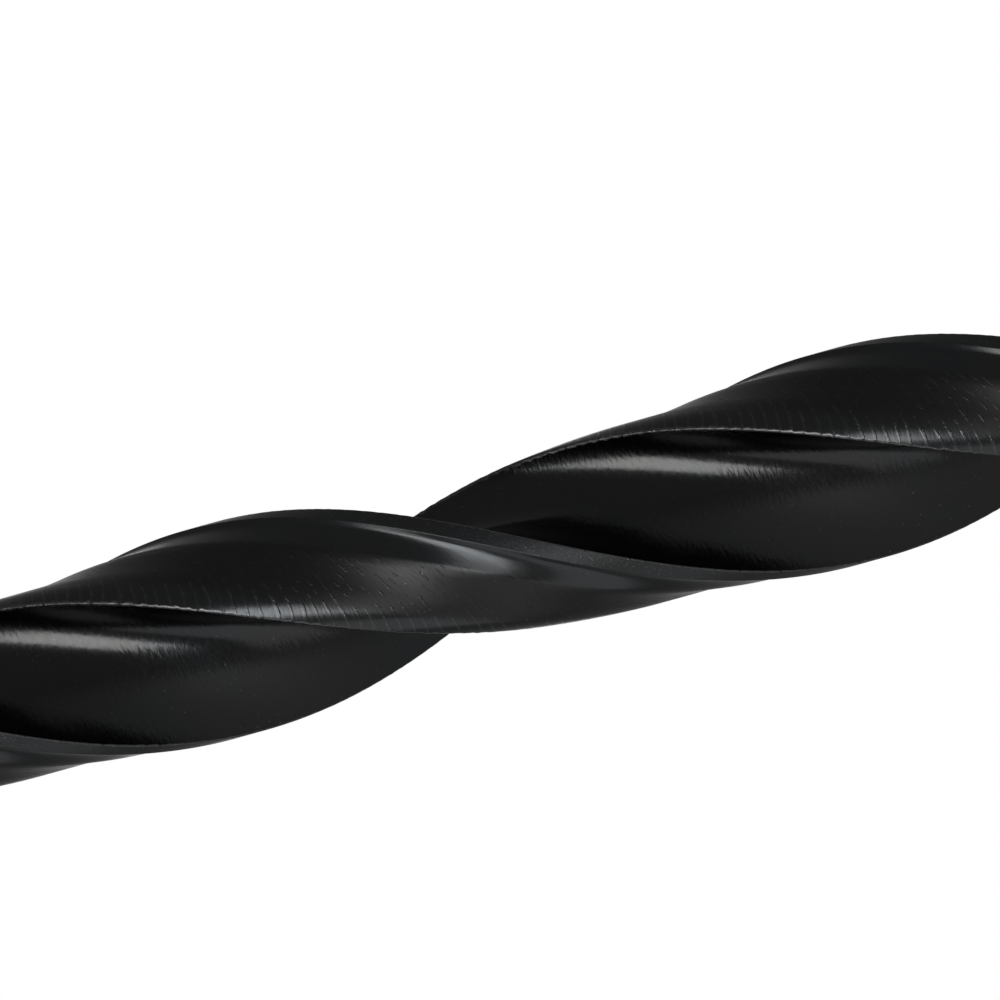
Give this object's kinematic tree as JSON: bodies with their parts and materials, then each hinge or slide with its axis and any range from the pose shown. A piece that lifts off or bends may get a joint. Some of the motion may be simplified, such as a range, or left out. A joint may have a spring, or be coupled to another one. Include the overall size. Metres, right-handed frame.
{
  "type": "twist drill bit",
  "caption": "Straight-shank twist drill bit for metal, ground from one bar, with two right-hand flutes, narrow margins and a conically ground point.",
  "frame": {"origin": "middle of the flat shank end", "axes": "+Z along the drill's axis from the shank end to the point; X and Y are square to it, and the picture looks about along +Y"},
  "size_m": [0.01, 0.01, 0.1328],
  "materials": {
    "black_oxide_steel": "black oxide over ground steel, semi-gloss"
  },
  "bodies": {
    "root": {"twist_drill": "black_oxide_steel"}
  },
  "joints": []
}
